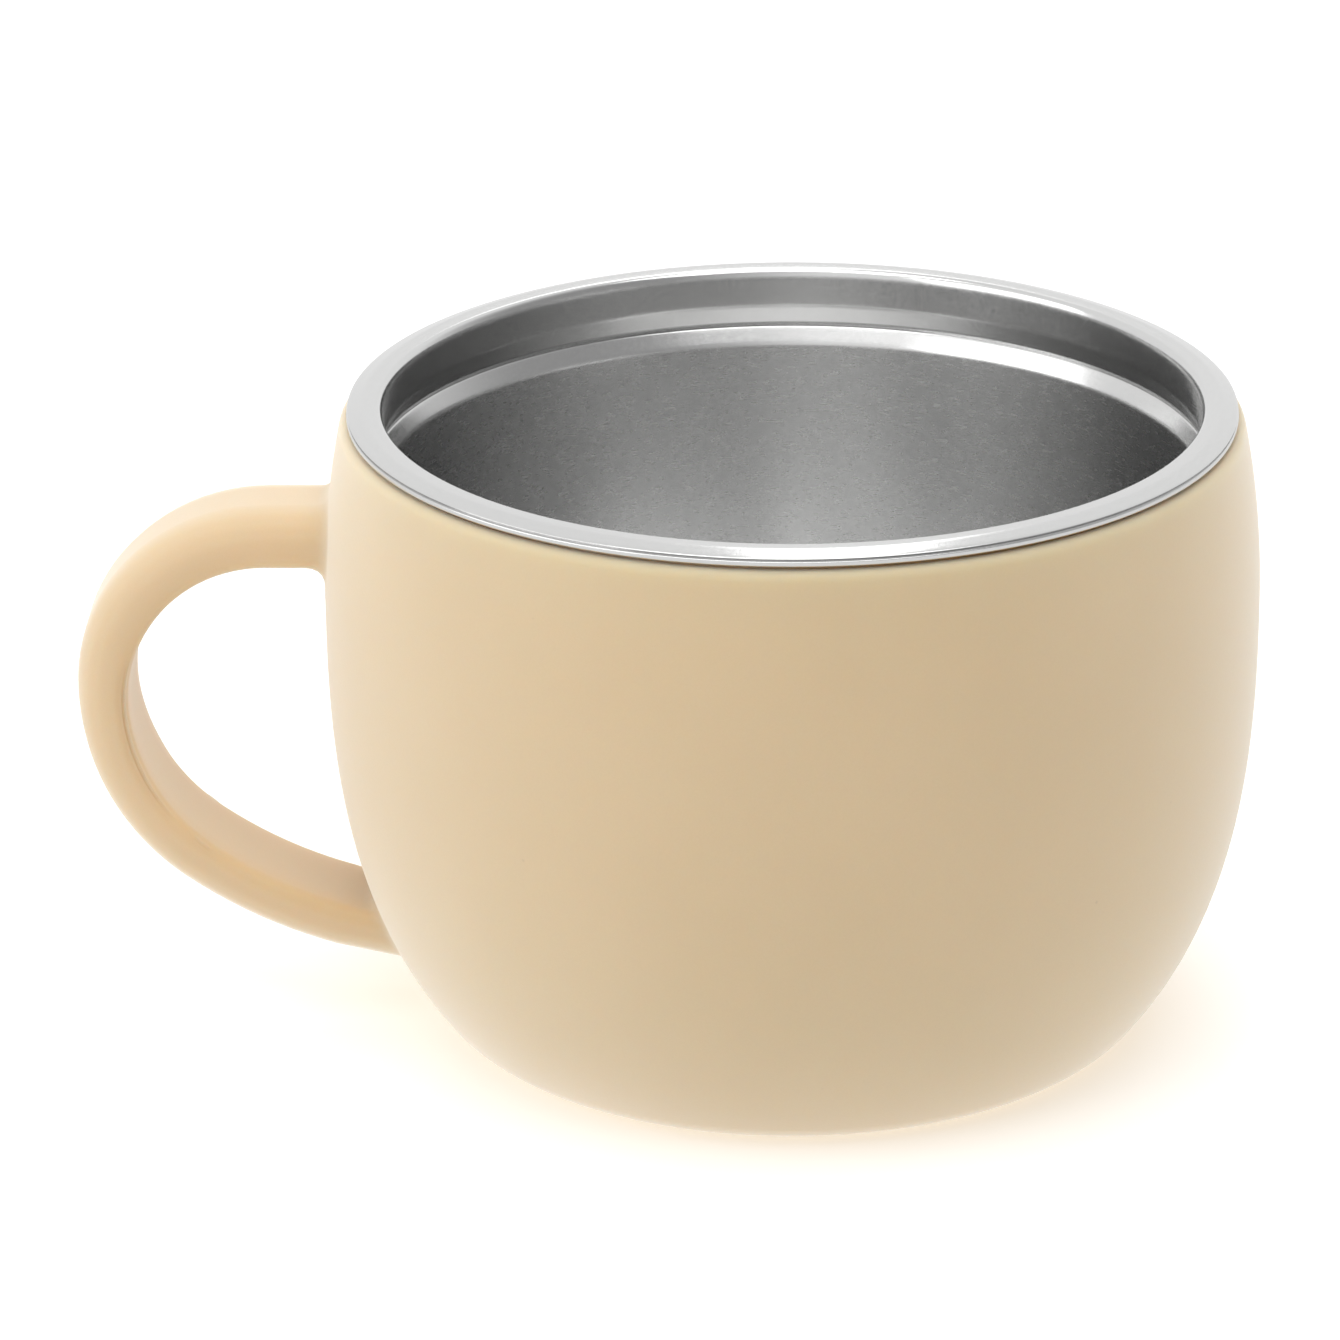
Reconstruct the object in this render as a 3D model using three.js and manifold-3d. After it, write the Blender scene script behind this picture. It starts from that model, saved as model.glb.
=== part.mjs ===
// Insulated training cup: a double-wall steel cup that stands in a soft silicone sleeve with a strap handle.
// Millimetres, +Z up. The origin is the middle of the base, and the handle points along -X.
import * as THREE from "three";
import { mergeVertices } from "three/addons/utils/BufferGeometryUtils.js";
import Module from "manifold-3d";

// Steel liner: rim, neck, lid groove and bowl
const RIM_HEIGHT = 62.5; // top of the rim above the table
const NECK_DIAMETER = 78; // inside the neck, where a lid plugs in
const FLANGE_WIDTH = 3.5; // from the neck's wall out to the edge of the rolled lip
const RIM_LAND = 0.8; // level ring on top of the rim, which a lid rests on
const FLANGE_FALL = 0.4; // the flange slopes down by this much from the land to the lip
const RIM_ROUND = 0.9; // rounding where the neck turns over into the flange
const LIP_THICKNESS = 0.9; // folded hem at the flange's edge
const LIP_HANG = 0.5; // how far the hem hangs below the flange
const LIP_ROUND = 0.5; // rounding along the hem's top edge
const LIP_EDGE = 0.25; // rounding along the hem's lower edge
const LINER_SHEET = 0.6;
const GROOVE_DROP = 6.3; // deepest line of the lid groove below the rim
const GROOVE_DEPTH = 0.95; // how far the groove is pressed out of the neck's wall
const GROOVE_RISE = 2.4; // height of the groove's upper side
const GROOVE_FALL = 1.7; // height of the groove's lower side
const LINER_DRAFT = 1.4; // radius that the bowl's wall loses between groove and corner
const LINER_CORNER_WIDTH = 14;
const LINER_CORNER_HEIGHT = 20;

// Steel outer shell, welded under the flange
const SHELL_SHEET = 0.6;
const LIP_GAP = 0.2; // between the hem and the shell
const SHELL_DRAFT = 0.3; // radius that the shell's wall loses between top and corner
const SHELL_CORNER_WIDTH = 13.6;
const SHELL_CORNER_HEIGHT = 24.6;
const SHELL_RING = 5.2; // flat ring round the opening in the shell's bottom, which the base disc laps over
const WELD_GAP = 0.1; // left between sheets that are welded or bonded together

// Base disc with the dimple and port that the air is drawn out through
const BASE_SHEET = 0.6;
const BASE_LAP = 3; // how far the disc laps over the shell's bottom
const DIMPLE_DIAMETER = 9;
const DIMPLE_DEPTH = 1.2;
const DIMPLE_SLOPE = 1.1; // width of the dimple's sloping side
const PORT_DIAMETER = 3;
const BOTTOM_GAP = 3.2; // vacuum space between the base disc and the bowl's floor

// Glass bead that seals the port, and the getter pill that keeps the vacuum
const SEAL_CLEARANCE = 0.3;
const SEAL_RECESS = 0.3; // the bead's face lies this far inside the dimple
const GETTER_DIAMETER = 8;
const GETTER_THICKNESS = 1.6;
const GETTER_CHAMFER = 0.4;
const GETTER_OFFSET = 12; // from the cup's axis

// Silicone sleeve
const SLEEVE_CLEARANCE = 0.3; // all round between the sleeve and the steel cup
const SLEEVE_FLOOR = 2.6;
const SLEEVE_TOP_WALL = 1.4;
const SLEEVE_TOP_ROUND = 0.9;
const BELLY_BULGE = 1.9; // radius that the sleeve gains from its top edge to its belly
const BELLY_DROP = 17.9; // widest ring below the sleeve's top edge
const BELLY_POWER = 2.656; // squareness of the curve from the belly down to the foot
const FOOT_INSET = 11.5; // radius lost between the belly and the flat base
const FOOT_ROUND = 2.2;

// Strap handle, moulded in one with the sleeve
const HANDLE_WIDTH = 11.8;
const HANDLE_THICKNESS = 5.3;
const HANDLE_DROP = 11.6; // middle of the top bar below the sleeve's top edge
const HANDLE_TOP_RUN = 6; // straight part of the top bar, outside the sleeve
const HANDLE_UPPER_BEND = 15.6; // radius of the strap's middle line
const HANDLE_LEG_SLOPE = 24.6; // degrees below level of the leg that runs back to the foot
const HANDLE_ROOT_HEIGHT = 7; // where the leg's middle line meets the sleeve, above the table
const HANDLE_SINK = 8; // how far each end runs into the sleeve before the hollow is cut

// Fineness of the meshes
const TURN_SEGMENTS = 40;
const PILL_SEGMENTS = 20;
const CURVE_STEPS = 3;
const WALL_STEPS = 9;
const HANDLE_STEPS = 36;
const HANDLE_ROUND_STEPS = 5;
const MERGE_DISTANCE = 0.001;

// Radii of the steel cup, from the neck outwards
const neckRadius = NECK_DIAMETER / 2;
const crownRadius = neckRadius + RIM_ROUND;
const landRadius = crownRadius + RIM_LAND;
const lipRadius = neckRadius + FLANGE_WIDTH;
const lipInnerRadius = lipRadius - LIP_THICKNESS;
const shellRadius = lipInnerRadius - LIP_GAP;
const grooveRadius = neckRadius + GROOVE_DEPTH;

// Height of the flange's upper and lower faces at a radius: level on the land, sloping outside it
function flangeTop(radius) {
  const slope = FLANGE_FALL / (lipRadius - landRadius);
  return RIM_HEIGHT - slope * Math.max(0, radius - landRadius);
}
function flangeUnder(radius) {
  return flangeTop(radius) - LINER_SHEET;
}

// Heights, from the rim down and from the table up
const lipBottom = flangeUnder(lipInnerRadius) - LIP_HANG;
const grooveHeight = RIM_HEIGHT - GROOVE_DROP;
const grooveTop = grooveHeight + GROOVE_RISE;
const grooveFoot = grooveHeight - GROOVE_FALL;
const shellTop = flangeUnder(shellRadius) - WELD_GAP;
const sleeveTop = lipBottom - SLEEVE_CLEARANCE;
const shellBottom = SLEEVE_FLOOR + SLEEVE_CLEARANCE;
const baseBottom = shellBottom + SHELL_SHEET + WELD_GAP;
const linerUnder = baseBottom + BASE_SHEET + BOTTOM_GAP;
const floorHeight = linerUnder + LINER_SHEET;

// Sleeve outline: an ellipse above the belly, a squarer curve below it
const sleeveMouthRadius = shellRadius + SLEEVE_CLEARANCE;
const sleeveTopRadius = sleeveMouthRadius + SLEEVE_TOP_WALL;
const bellyRadius = sleeveTopRadius + BELLY_BULGE;
const bellyHeight = sleeveTop - BELLY_DROP;
const baseRadius = bellyRadius - FOOT_INSET;
const upperDepth = BELLY_DROP / Math.sqrt(1 - (sleeveTopRadius / bellyRadius) ** 2);
const footShare = (1 - (baseRadius / bellyRadius) ** BELLY_POWER) ** (1 / BELLY_POWER);
const lowerDepth = bellyHeight / footShare;

function sleeveRadius(height) {
  if (height > bellyHeight) {
    const up = (height - bellyHeight) / upperDepth;
    return bellyRadius * Math.sqrt(1 - up ** 2);
  }
  const down = (bellyHeight - height) / lowerDepth;
  return bellyRadius * (1 - down ** BELLY_POWER) ** (1 / BELLY_POWER);
}

// A half outline, drawn as radius and height, turned about the cup's axis
function revolve(outline, segments = TURN_SEGMENTS) {
  const points = outline.getPoints(CURVE_STEPS);
  return new THREE.LatheGeometry(points, segments).rotateX(Math.PI / 2);
}

// Booleans between closed meshes
const wasm = await Module();
wasm.setup();

function toSolid(geometry) {
  const bare = geometry.clone();
  bare.deleteAttribute("normal");
  bare.deleteAttribute("uv");
  const merged = mergeVertices(bare, MERGE_DISTANCE);
  const mesh = new wasm.Mesh({
    numProp: 3,
    vertProperties: merged.getAttribute("position").array,
    triVerts: new Uint32Array(merged.index.array),
  });
  return new wasm.Manifold(mesh);
}

function toGeometry(solid) {
  const mesh = solid.getMesh();
  const geometry = new THREE.BufferGeometry();
  geometry.setAttribute("position", new THREE.BufferAttribute(mesh.vertProperties, 3));
  geometry.setIndex(new THREE.BufferAttribute(mesh.triVerts, 1));
  geometry.computeVertexNormals();
  return geometry;
}

// The bowl's outline: up the outside, over the rim, and down the inside
function linerGeometry() {
  const cornerTop = floorHeight + LINER_CORNER_HEIGHT;
  const cornerRadius = neckRadius - LINER_DRAFT - LINER_CORNER_WIDTH;
  const outsideWidth = LINER_CORNER_WIDTH + LINER_SHEET;
  const outsideHeight = LINER_CORNER_HEIGHT + LINER_SHEET;
  const outline = new THREE.Path();
  outline.moveTo(0, linerUnder);
  outline.lineTo(cornerRadius, linerUnder);
  outline.absellipse(cornerRadius, cornerTop, outsideWidth, outsideHeight, -Math.PI / 2, 0, false);
  outline.lineTo(neckRadius + LINER_SHEET, grooveFoot);
  outline.lineTo(grooveRadius + LINER_SHEET, grooveHeight);
  outline.lineTo(neckRadius + LINER_SHEET, grooveTop);
  outline.lineTo(neckRadius + LINER_SHEET, flangeUnder(neckRadius + LINER_SHEET));
  outline.lineTo(landRadius, flangeUnder(landRadius));
  outline.lineTo(lipInnerRadius, flangeUnder(lipInnerRadius));
  outline.lineTo(lipInnerRadius, lipBottom);
  outline.lineTo(lipRadius - LIP_EDGE, lipBottom);
  outline.quadraticCurveTo(lipRadius, lipBottom, lipRadius, lipBottom + LIP_EDGE);
  const lipShoulder = lipRadius - LIP_ROUND;
  outline.lineTo(lipRadius, flangeTop(lipRadius) - LIP_ROUND);
  outline.quadraticCurveTo(lipRadius, flangeTop(lipRadius), lipShoulder, flangeTop(lipShoulder));
  outline.lineTo(landRadius, RIM_HEIGHT);
  outline.lineTo(crownRadius, RIM_HEIGHT);
  outline.quadraticCurveTo(neckRadius, RIM_HEIGHT, neckRadius, RIM_HEIGHT - RIM_ROUND);
  outline.lineTo(neckRadius, grooveTop);
  outline.lineTo(grooveRadius, grooveHeight);
  outline.lineTo(neckRadius, grooveFoot);
  outline.absellipse(
    cornerRadius, cornerTop, LINER_CORNER_WIDTH, LINER_CORNER_HEIGHT, 0, -Math.PI / 2, true,
  );
  outline.lineTo(0, floorHeight);
  return revolve(outline);
}

// Where the shell's wall turns in to its bottom, shared with the sleeve's hollow
const shellCornerTop = shellBottom + SHELL_CORNER_HEIGHT;
const shellCornerRadius = shellRadius - SHELL_DRAFT - SHELL_CORNER_WIDTH;
const shellHoleRadius = shellCornerRadius - SHELL_RING;

function shellGeometry() {
  const insideWidth = SHELL_CORNER_WIDTH - SHELL_SHEET;
  const insideHeight = SHELL_CORNER_HEIGHT - SHELL_SHEET;
  const outline = new THREE.Path();
  outline.moveTo(shellHoleRadius, shellBottom);
  outline.lineTo(shellCornerRadius, shellBottom);
  outline.absellipse(
    shellCornerRadius, shellCornerTop, SHELL_CORNER_WIDTH, SHELL_CORNER_HEIGHT, -Math.PI / 2, 0, false,
  );
  outline.lineTo(shellRadius, shellTop);
  outline.lineTo(shellRadius - SHELL_SHEET, shellTop);
  outline.absellipse(
    shellCornerRadius, shellCornerTop, insideWidth, insideHeight, 0, -Math.PI / 2, true,
  );
  outline.lineTo(shellHoleRadius, shellBottom + SHELL_SHEET);
  outline.lineTo(shellHoleRadius, shellBottom);
  return revolve(outline);
}

// The base disc lies inside the shell, over its opening, with the dimple pressed up from below
const dimpleRadius = DIMPLE_DIAMETER / 2;
const portRadius = PORT_DIAMETER / 2;
const dimpleRoof = baseBottom + DIMPLE_DEPTH;

function baseGeometry() {
  const edgeRadius = shellHoleRadius + BASE_LAP;
  const footRadius = dimpleRadius + DIMPLE_SLOPE;
  const outline = new THREE.Path();
  outline.moveTo(portRadius, dimpleRoof);
  outline.lineTo(dimpleRadius, dimpleRoof);
  outline.lineTo(footRadius, baseBottom);
  outline.lineTo(edgeRadius, baseBottom);
  outline.lineTo(edgeRadius, baseBottom + BASE_SHEET);
  outline.lineTo(footRadius + BASE_SHEET, baseBottom + BASE_SHEET);
  outline.lineTo(dimpleRadius + BASE_SHEET, dimpleRoof + BASE_SHEET);
  outline.lineTo(portRadius, dimpleRoof + BASE_SHEET);
  outline.lineTo(portRadius, dimpleRoof);
  return revolve(outline);
}

// The glass bead lies in the dimple, with a stub up the port
function sealGeometry() {
  const beadRadius = dimpleRadius - SEAL_CLEARANCE;
  const stubRadius = portRadius - SEAL_CLEARANCE;
  const beadTop = dimpleRoof - WELD_GAP;
  const beadBottom = baseBottom + SEAL_RECESS;
  const outline = new THREE.Path();
  outline.moveTo(0, beadBottom);
  outline.lineTo(beadRadius / 2, beadBottom);
  outline.quadraticCurveTo(beadRadius, beadBottom, beadRadius, beadTop);
  outline.lineTo(stubRadius, beadTop);
  outline.lineTo(stubRadius, dimpleRoof + BASE_SHEET);
  outline.lineTo(0, dimpleRoof + BASE_SHEET);
  return revolve(outline, PILL_SEGMENTS);
}

// The getter pill hangs under the bowl's floor, drawn here with its top face at height zero
function getterGeometry() {
  const radius = GETTER_DIAMETER / 2;
  const outline = new THREE.Path();
  outline.moveTo(0, -GETTER_THICKNESS);
  outline.lineTo(radius - GETTER_CHAMFER, -GETTER_THICKNESS);
  outline.lineTo(radius, GETTER_CHAMFER - GETTER_THICKNESS);
  outline.lineTo(radius, 0);
  outline.lineTo(0, 0);
  return revolve(outline, PILL_SEGMENTS);
}

// The sleeve's outside as a full solid, with a rounded foot and a rounded top edge
function sleeveOutside() {
  const topShoulder = sleeveTop - SLEEVE_TOP_ROUND;
  const outline = new THREE.Path();
  outline.moveTo(0, 0);
  outline.lineTo(baseRadius - FOOT_ROUND, 0);
  outline.quadraticCurveTo(baseRadius, 0, sleeveRadius(FOOT_ROUND), FOOT_ROUND);
  for (let step = 1; step <= WALL_STEPS; step += 1) {
    const height = THREE.MathUtils.lerp(FOOT_ROUND, bellyHeight, step / WALL_STEPS);
    outline.lineTo(sleeveRadius(height), height);
  }
  for (let step = 1; step <= CURVE_STEPS; step += 1) {
    const height = THREE.MathUtils.lerp(bellyHeight, topShoulder, step / CURVE_STEPS);
    outline.lineTo(sleeveRadius(height), height);
  }
  outline.quadraticCurveTo(sleeveTopRadius, sleeveTop, sleeveTopRadius - SLEEVE_TOP_ROUND, sleeveTop);
  outline.lineTo(0, sleeveTop);
  return revolve(outline);
}

// The hollow that the steel cup stands in: the shell's outside, larger all round by the clearance
function sleeveHollow() {
  const cornerWidth = SHELL_CORNER_WIDTH + SLEEVE_CLEARANCE;
  const cornerHeight = SHELL_CORNER_HEIGHT + SLEEVE_CLEARANCE;
  const pastTop = sleeveTop + SLEEVE_TOP_WALL;
  const outline = new THREE.Path();
  outline.moveTo(0, SLEEVE_FLOOR);
  outline.lineTo(shellCornerRadius, SLEEVE_FLOOR);
  outline.absellipse(
    shellCornerRadius, shellCornerTop, cornerWidth, cornerHeight, -Math.PI / 2, 0, false,
  );
  outline.lineTo(sleeveMouthRadius, sleeveTop);
  outline.lineTo(sleeveMouthRadius, pastTop);
  outline.lineTo(0, pastTop);
  return revolve(outline);
}

// A flat route stood upright in the XZ plane
class UprightRoute extends THREE.Curve {
  constructor(path) {
    super();
    this.path = path;
  }
  getPoint(share, target = new THREE.Vector3()) {
    const point = this.path.getPoint(share);
    return target.set(point.x, 0, point.y);
  }
}

// The strap's middle line: level out of the sleeve, round the upper bend, round the lower bend,
// then straight back to the foot. The lower bend's radius is what makes the leg meet its root.
function handleRoute() {
  const barHeight = sleeveTop - HANDLE_DROP;
  const barStart = -sleeveRadius(barHeight);
  const bendStart = barStart - HANDLE_TOP_RUN;
  const bendHeight = barHeight - HANDLE_UPPER_BEND;
  const reach = bendStart - HANDLE_UPPER_BEND;
  const turn = Math.PI / 2 - THREE.MathUtils.degToRad(HANDLE_LEG_SLOPE);
  const rootRun = -sleeveRadius(HANDLE_ROOT_HEIGHT) - reach;
  const rootFall = bendHeight - HANDLE_ROOT_HEIGHT;
  const level = Math.sin(turn);
  const fall = Math.cos(turn);
  const lowerBend = (rootFall * level - rootRun * fall) / (1 - fall);
  const legLength = (rootRun * level - rootFall * (1 - fall)) / (1 - fall) + HANDLE_SINK;
  const legStart = new THREE.Vector2(
    reach + lowerBend * (1 - fall), bendHeight - lowerBend * level,
  );
  const path = new THREE.Path();
  path.moveTo(barStart + HANDLE_SINK, barHeight);
  path.lineTo(bendStart, barHeight);
  path.absarc(bendStart, bendHeight, HANDLE_UPPER_BEND, Math.PI / 2, Math.PI, false);
  path.absarc(reach + lowerBend, bendHeight, lowerBend, Math.PI, Math.PI + turn, false);
  path.lineTo(legStart.x + legLength * level, legStart.y - legLength * fall);
  return new UprightRoute(path);
}

// The strap's section: flat faces with full-round edges
function handleSection() {
  const edgeRadius = HANDLE_THICKNESS / 2;
  const edgeCentre = HANDLE_WIDTH / 2 - edgeRadius;
  const section = new THREE.Shape();
  section.absarc(0, edgeCentre, edgeRadius, 0, Math.PI, false);
  section.absarc(0, -edgeCentre, edgeRadius, Math.PI, 2 * Math.PI, false);
  return section;
}

function handleGeometry() {
  return new THREE.ExtrudeGeometry(handleSection(), {
    extrudePath: handleRoute(),
    steps: HANDLE_STEPS,
    curveSegments: HANDLE_ROUND_STEPS,
  });
}

function sleeveGeometry() {
  const outside = toSolid(sleeveOutside());
  const handle = toSolid(handleGeometry());
  const hollow = toSolid(sleeveHollow());
  return toGeometry(outside.add(handle).subtract(hollow));
}

// One named mesh with a material of its own
function part(name, geometry, look) {
  const mesh = new THREE.Mesh(geometry, new THREE.MeshStandardMaterial(look));
  mesh.name = name;
  return mesh;
}

const brushedSteel = { color: 0xb9b8b4, roughness: 0.34, metalness: 1 };
const plainSteel = { color: 0xa9a8a5, roughness: 0.42, metalness: 1 };
const sealGlass = { color: 0x3a3f3a, roughness: 0.15, metalness: 0 };
const getterAlloy = { color: 0x5c5a57, roughness: 0.7, metalness: 0.6 };
const beigeSilicone = { color: 0xdccaac, roughness: 0.62, metalness: 0 };

const getter = part("getter", getterGeometry(), getterAlloy);
getter.position.set(GETTER_OFFSET, 0, linerUnder - WELD_GAP);

const steelCup = new THREE.Group();
steelCup.add(
  part("inner_liner", linerGeometry(), brushedSteel),
  part("outer_shell", shellGeometry(), plainSteel),
  part("shell_base", baseGeometry(), plainSteel),
  part("vacuum_seal", sealGeometry(), sealGlass),
  getter,
);

const trainingCup = new THREE.Group();
trainingCup.add(part("silicone_sleeve", sleeveGeometry(), beigeSilicone), steelCup);

export default trainingCup;
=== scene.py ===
# Insulated training cup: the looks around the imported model, in metres, in the model's own frame.
# The cup's axis is +Z, the handle points along -X, and the base stands on the floor at height zero.
import math

import bpy
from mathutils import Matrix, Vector


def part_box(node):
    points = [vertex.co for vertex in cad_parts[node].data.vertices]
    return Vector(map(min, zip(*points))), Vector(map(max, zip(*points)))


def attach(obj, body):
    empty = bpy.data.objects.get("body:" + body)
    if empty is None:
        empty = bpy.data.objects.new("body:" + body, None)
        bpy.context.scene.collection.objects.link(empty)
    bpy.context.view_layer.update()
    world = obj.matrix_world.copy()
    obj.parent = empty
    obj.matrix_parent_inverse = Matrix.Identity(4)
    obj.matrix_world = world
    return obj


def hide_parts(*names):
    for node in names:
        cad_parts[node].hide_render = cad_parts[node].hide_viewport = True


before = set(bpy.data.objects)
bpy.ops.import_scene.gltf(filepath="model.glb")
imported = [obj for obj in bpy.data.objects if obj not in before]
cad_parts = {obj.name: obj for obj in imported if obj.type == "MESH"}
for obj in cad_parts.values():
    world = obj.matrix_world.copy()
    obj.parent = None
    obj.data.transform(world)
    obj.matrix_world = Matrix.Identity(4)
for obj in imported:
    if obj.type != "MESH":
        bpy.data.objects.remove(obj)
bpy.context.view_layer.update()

MM = 0.001

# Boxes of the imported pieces
_, sleeve_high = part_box("silicone_sleeve")
liner_low, liner_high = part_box("inner_liner")
shell_low, shell_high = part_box("outer_shell")
disc_low, disc_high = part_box("shell_base")
seal_low, seal_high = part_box("vacuum_seal")
getter_low, getter_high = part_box("getter")

# Steel liner
RIM_HEIGHT = liner_high.z
LIP_RADIUS = liner_high.y
FLANGE_WIDTH = 3.5 * MM
RIM_LAND = 1.1 * MM
FLANGE_FALL = 0.4 * MM
RIM_ROUND = 0.9 * MM
CROWN_FALL = 1.3 * MM
CROWN_DIP = 0.05 * MM
CROWN_REACH = 0.7 * MM
LIP_THICKNESS = 0.9 * MM
LIP_HANG = 0.5 * MM
LIP_ROUND = 0.45 * MM
LIP_EDGE = 0.25 * MM
SEAM_DROP = 0.2 * MM
SEAM_DEPTH = 0.42 * MM
SEAM_HALF = 0.12 * MM
SEAM_EDGE = 0.12 * MM
SHEET = 0.6 * MM
GROOVE_DROP = 6.3 * MM
GROOVE_DEPTH = 0.95 * MM
GROOVE_RISE = 2.4 * MM
GROOVE_FALL = 1.7 * MM
GROOVE_BEND = 0.35 * MM
NOTCH_HALF = 0.07 * MM
NOTCH_DEPTH = 0.16 * MM
NOTCH_EDGE = 0.25 * MM
LINER_DRAFT = 1.4 * MM
LINER_CORNER_WIDTH = 14 * MM
LINER_CORNER_HEIGHT = 20 * MM

# Steel shell, base disc and getter
SHELL_RADIUS = shell_high.y
SHELL_DRAFT = 0.3 * MM
SHELL_CORNER_WIDTH = 13.6 * MM
SHELL_CORNER_HEIGHT = 24.6 * MM
SHELL_RING = 5.2 * MM
SHEET_EDGE = 0.15 * MM
DIMPLE_RADIUS = 4.5 * MM
DIMPLE_DEPTH = 1.2 * MM
DIMPLE_SLOPE = 1.1 * MM
DIMPLE_TURN = 0.5 * MM
DIMPLE_SLANT = 0.7 * DIMPLE_TURN
PORT_RADIUS = 1.5 * MM
GETTER_ROUND = 0.4 * MM
GETTER_EDGE = 0.1 * MM

# Glass seal in the dimple
SEAL_GAP = 0.1 * MM
SEAL_CLEARANCE = 0.3 * MM
SEAL_EDGE = 0.1 * MM
SEAL_FACE = 0.45
SEAL_FACE_RISE = 0.02 * MM
SEAL_SIDE_RISE = 0.05 * MM
SEAL_TIP_RISE = 0.2 * MM
SEAL_TIP_ROUND = 0.3 * MM

# Silicone sleeve
SLEEVE_TOP = sleeve_high.z
BELLY_RADIUS = sleeve_high.y
SLEEVE_CLEARANCE = 0.3 * MM
SLEEVE_FLOOR = 2.6 * MM
SLEEVE_TOP_WALL = 1.4 * MM
SLEEVE_TOP_ROUND = 0.9 * MM
SLEEVE_MOUTH_ROUND = 0.3 * MM
BELLY_DROP = 17.9 * MM
BELLY_POWER = 2.656
FOOT_INSET = 11.5 * MM
FOOT_ROUND = 2.2 * MM

# Strap handle
HANDLE_WIDTH = 11.9 * MM
HANDLE_THICKNESS = 5.0 * MM
HANDLE_TAPER = 0.5 * MM
HANDLE_OUTER_EDGE = 3.3 * MM
HANDLE_INNER_EDGE = 1.3 * MM
HANDLE_DROP = 11.3 * MM
HANDLE_TOP_RUN = 5.7 * MM
HANDLE_UPPER_BEND = 16.1 * MM
HANDLE_LOWER_TURN = math.radians(54)
HANDLE_LEG_TURN = math.radians(80)
HANDLE_ROOT_HEIGHT = 8.1 * MM
FLASH_HEIGHT = 0.24 * MM
FLASH_LEANS = (52, 46, 40)
FLASH_SHARES = {46: 1.0, 40: -0.8}

# Stretches of the strap, as shares of its stations from the bar to the leg
TAPER_STRETCH = (0.28, 0.50)
FLASH_START = (0.36, 0.46)
FLASH_END = (0.62, 0.78)
BLOB_START = (0.78, 0.805)
BLOB_END = (0.805, 0.83)

# Fineness of the meshes, and the search for where the strap meets the body
TURN_COLUMNS = 192
SMALL_TURN_COLUMNS = 64
POINT_RADIUS = 0.001 * MM
BELLY_ROWS = 18
SHOULDER_ROWS = 5
STRAP_POINTS = 40
SEARCH_REACH = 14 * MM
SEARCH_STEPS = 50

# Heights and radii worked out from those
neck_radius = LIP_RADIUS - FLANGE_WIDTH
crown_radius = neck_radius + RIM_ROUND
land_radius = crown_radius + RIM_LAND
lip_inner_radius = LIP_RADIUS - LIP_THICKNESS
groove_radius = neck_radius + GROOVE_DEPTH
groove_height = RIM_HEIGHT - GROOVE_DROP
groove_top = groove_height + GROOVE_RISE
groove_foot = groove_height - GROOVE_FALL
liner_floor = liner_low.z + SHEET
shell_corner_top = shell_low.z + SHELL_CORNER_HEIGHT
shell_corner_radius = SHELL_RADIUS - SHELL_DRAFT - SHELL_CORNER_WIDTH
mouth_radius = SHELL_RADIUS + SLEEVE_CLEARANCE
sleeve_top_radius = mouth_radius + SLEEVE_TOP_WALL
belly_height = SLEEVE_TOP - BELLY_DROP
base_radius = BELLY_RADIUS - FOOT_INSET
upper_depth = BELLY_DROP / math.sqrt(1 - (sleeve_top_radius / BELLY_RADIUS) ** 2)
foot_share = (1 - (base_radius / BELLY_RADIUS) ** BELLY_POWER) ** (1 / BELLY_POWER)
lower_depth = belly_height / foot_share


def sleeve_radius(height):
    """Outside radius of the sleeve at a height: an ellipse above the belly, a squarer curve below."""
    if height > belly_height:
        up = (height - belly_height) / upper_depth
        return BELLY_RADIUS * math.sqrt(1 - up ** 2)
    down = (belly_height - height) / lower_depth
    return BELLY_RADIUS * (1 - down ** BELLY_POWER) ** (1 / BELLY_POWER)


def flange_top(radius):
    """Height of the flange's upper face at a radius: level on the land, sloping outside it."""
    return RIM_HEIGHT - FLANGE_FALL / (LIP_RADIUS - land_radius) * max(0.0, radius - land_radius)


# Outlines, as lists of radius and height
def line(start, end, steps):
    """Points from start to end, without the first."""
    shares = [step / steps for step in range(1, steps + 1)]
    return [tuple(a + (b - a) * share for a, b in zip(start, end)) for share in shares]


def along(start, end, distance):
    """The point at a distance from start, on the way to end."""
    share = distance / math.dist(start, end)
    return tuple(a + (b - a) * share for a, b in zip(start, end))


def rounding(start, corner, end, steps):
    """Points of a smooth turn from start to end that stays inside the corner, without the first."""
    points = []
    for step in range(1, steps + 1):
        share = step / steps
        weights = ((1 - share) ** 2, 2 * share * (1 - share), share ** 2)
        points.append(tuple(
            weights[0] * a + weights[1] * b + weights[2] * c for a, b, c in zip(start, corner, end)
        ))
    return points


def ellipse(centre, width, height, first, last, steps):
    """Points on an ellipse from one angle to another, in degrees, without the first."""
    points = []
    for step in range(1, steps + 1):
        angle = math.radians(first + (last - first) * step / steps)
        points.append((centre[0] + width * math.cos(angle), centre[1] + height * math.sin(angle)))
    return points


# Meshes
def add_piece(name, vertices, faces, material):
    mesh = bpy.data.meshes.new(name)
    mesh.from_pydata(vertices, [], faces)
    mesh.validate()
    mesh.shade_smooth()
    mesh.materials.append(material)
    piece = bpy.data.objects.new(name, mesh)
    bpy.context.scene.collection.objects.link(piece)
    return piece


def on_ring(radius, height, angle):
    return (radius * math.cos(angle), radius * math.sin(angle), height)


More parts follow.
